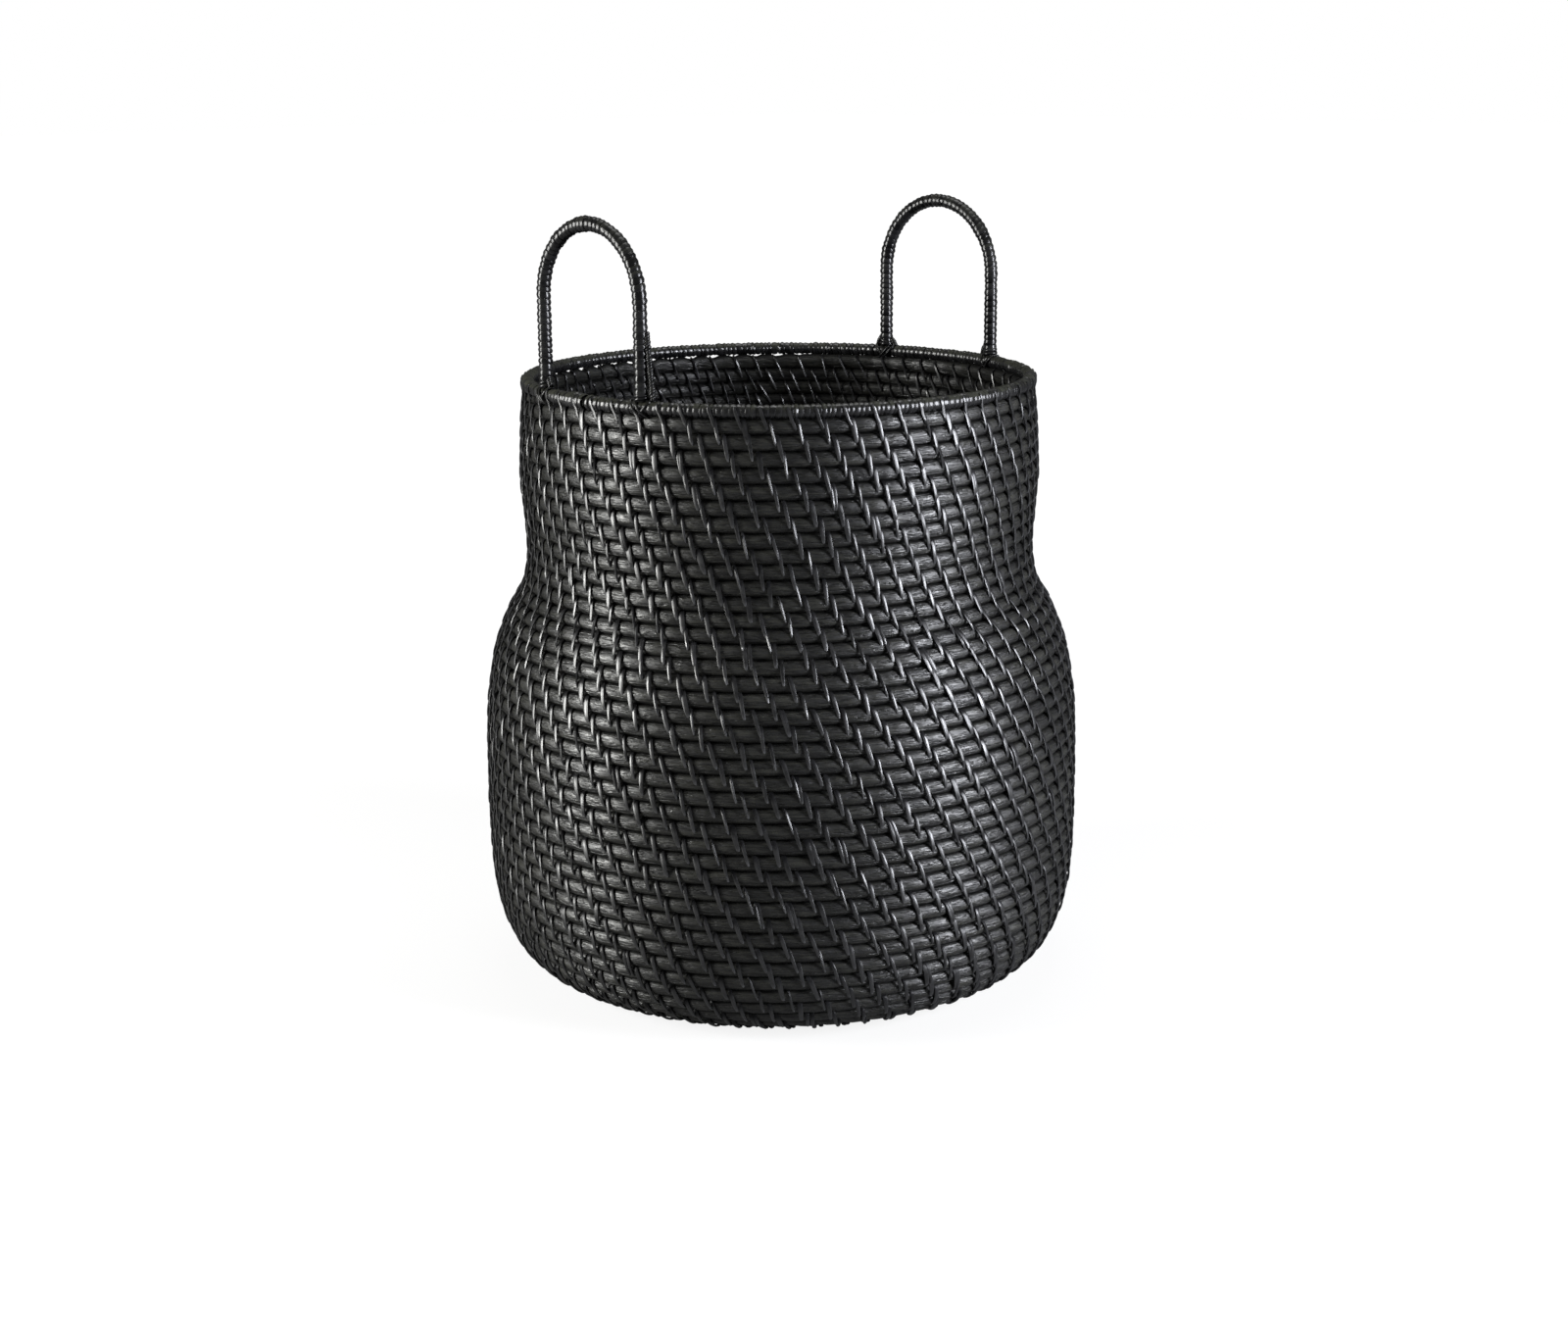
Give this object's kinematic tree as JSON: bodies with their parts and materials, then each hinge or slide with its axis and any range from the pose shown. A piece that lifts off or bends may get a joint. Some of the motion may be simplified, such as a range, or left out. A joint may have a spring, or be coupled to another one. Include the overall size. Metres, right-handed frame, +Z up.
{
  "type": "belly basket",
  "caption": "Round coiled floor basket with a wide belly, a drawn-in waist, a straight neck and two upright bound handles on a bound rim.",
  "frame": {"origin": "on the floor, under the middle of the base", "axes": "+Z up along the basket's axis; the two handles stand on +X and -X, each in a plane across the X axis"},
  "size_m": [0.4182, 0.4182, 0.5344],
  "materials": {
    "blackened_reed": "black-stained fibrous reed, satin, with lengthwise grain",
    "blackened_cane": "black-stained split cane peel, glossy, worn grey-olive on the rim"
  },
  "bodies": {
    "root": {"base_rod_01": "blackened_reed", "base_rod_02": "blackened_reed", "left_handle_back_lashing": "blackened_cane", "left_handle_binding": "blackened_cane", "left_handle_front_lashing": "blackened_cane", "left_handle_rod": "blackened_reed", "right_handle_back_lashing": "blackened_cane", "right_handle_binding": "blackened_cane", "right_handle_front_lashing": "blackened_cane", "right_handle_rod": "blackened_reed", "rim_binding": "blackened_cane", "rim_rod": "blackened_reed", "wall_rod_01": "blackened_reed", "wall_rod_02": "blackened_reed", "wall_rod_03": "blackened_reed", "wall_rod_04": "blackened_reed", "wall_rod_05": "blackened_reed", "wall_rod_06": "blackened_reed", "wall_rod_07": "blackened_reed", "wall_rod_08": "blackened_reed", "wall_rod_09": "blackened_reed", "wall_rod_10": "blackened_reed", "wall_rod_11": "blackened_reed", "wall_rod_12": "blackened_reed", "wall_rod_13": "blackened_reed", "wall_rod_14": "blackened_reed", "wall_rod_15": "blackened_reed", "wall_rod_16": "blackened_reed", "wall_rod_17": "blackened_reed", "wall_rod_18": "blackened_reed", "wall_rod_19": "blackened_reed", "wall_rod_20": "blackened_reed", "wall_rod_21": "blackened_reed"}
  },
  "joints": []
}
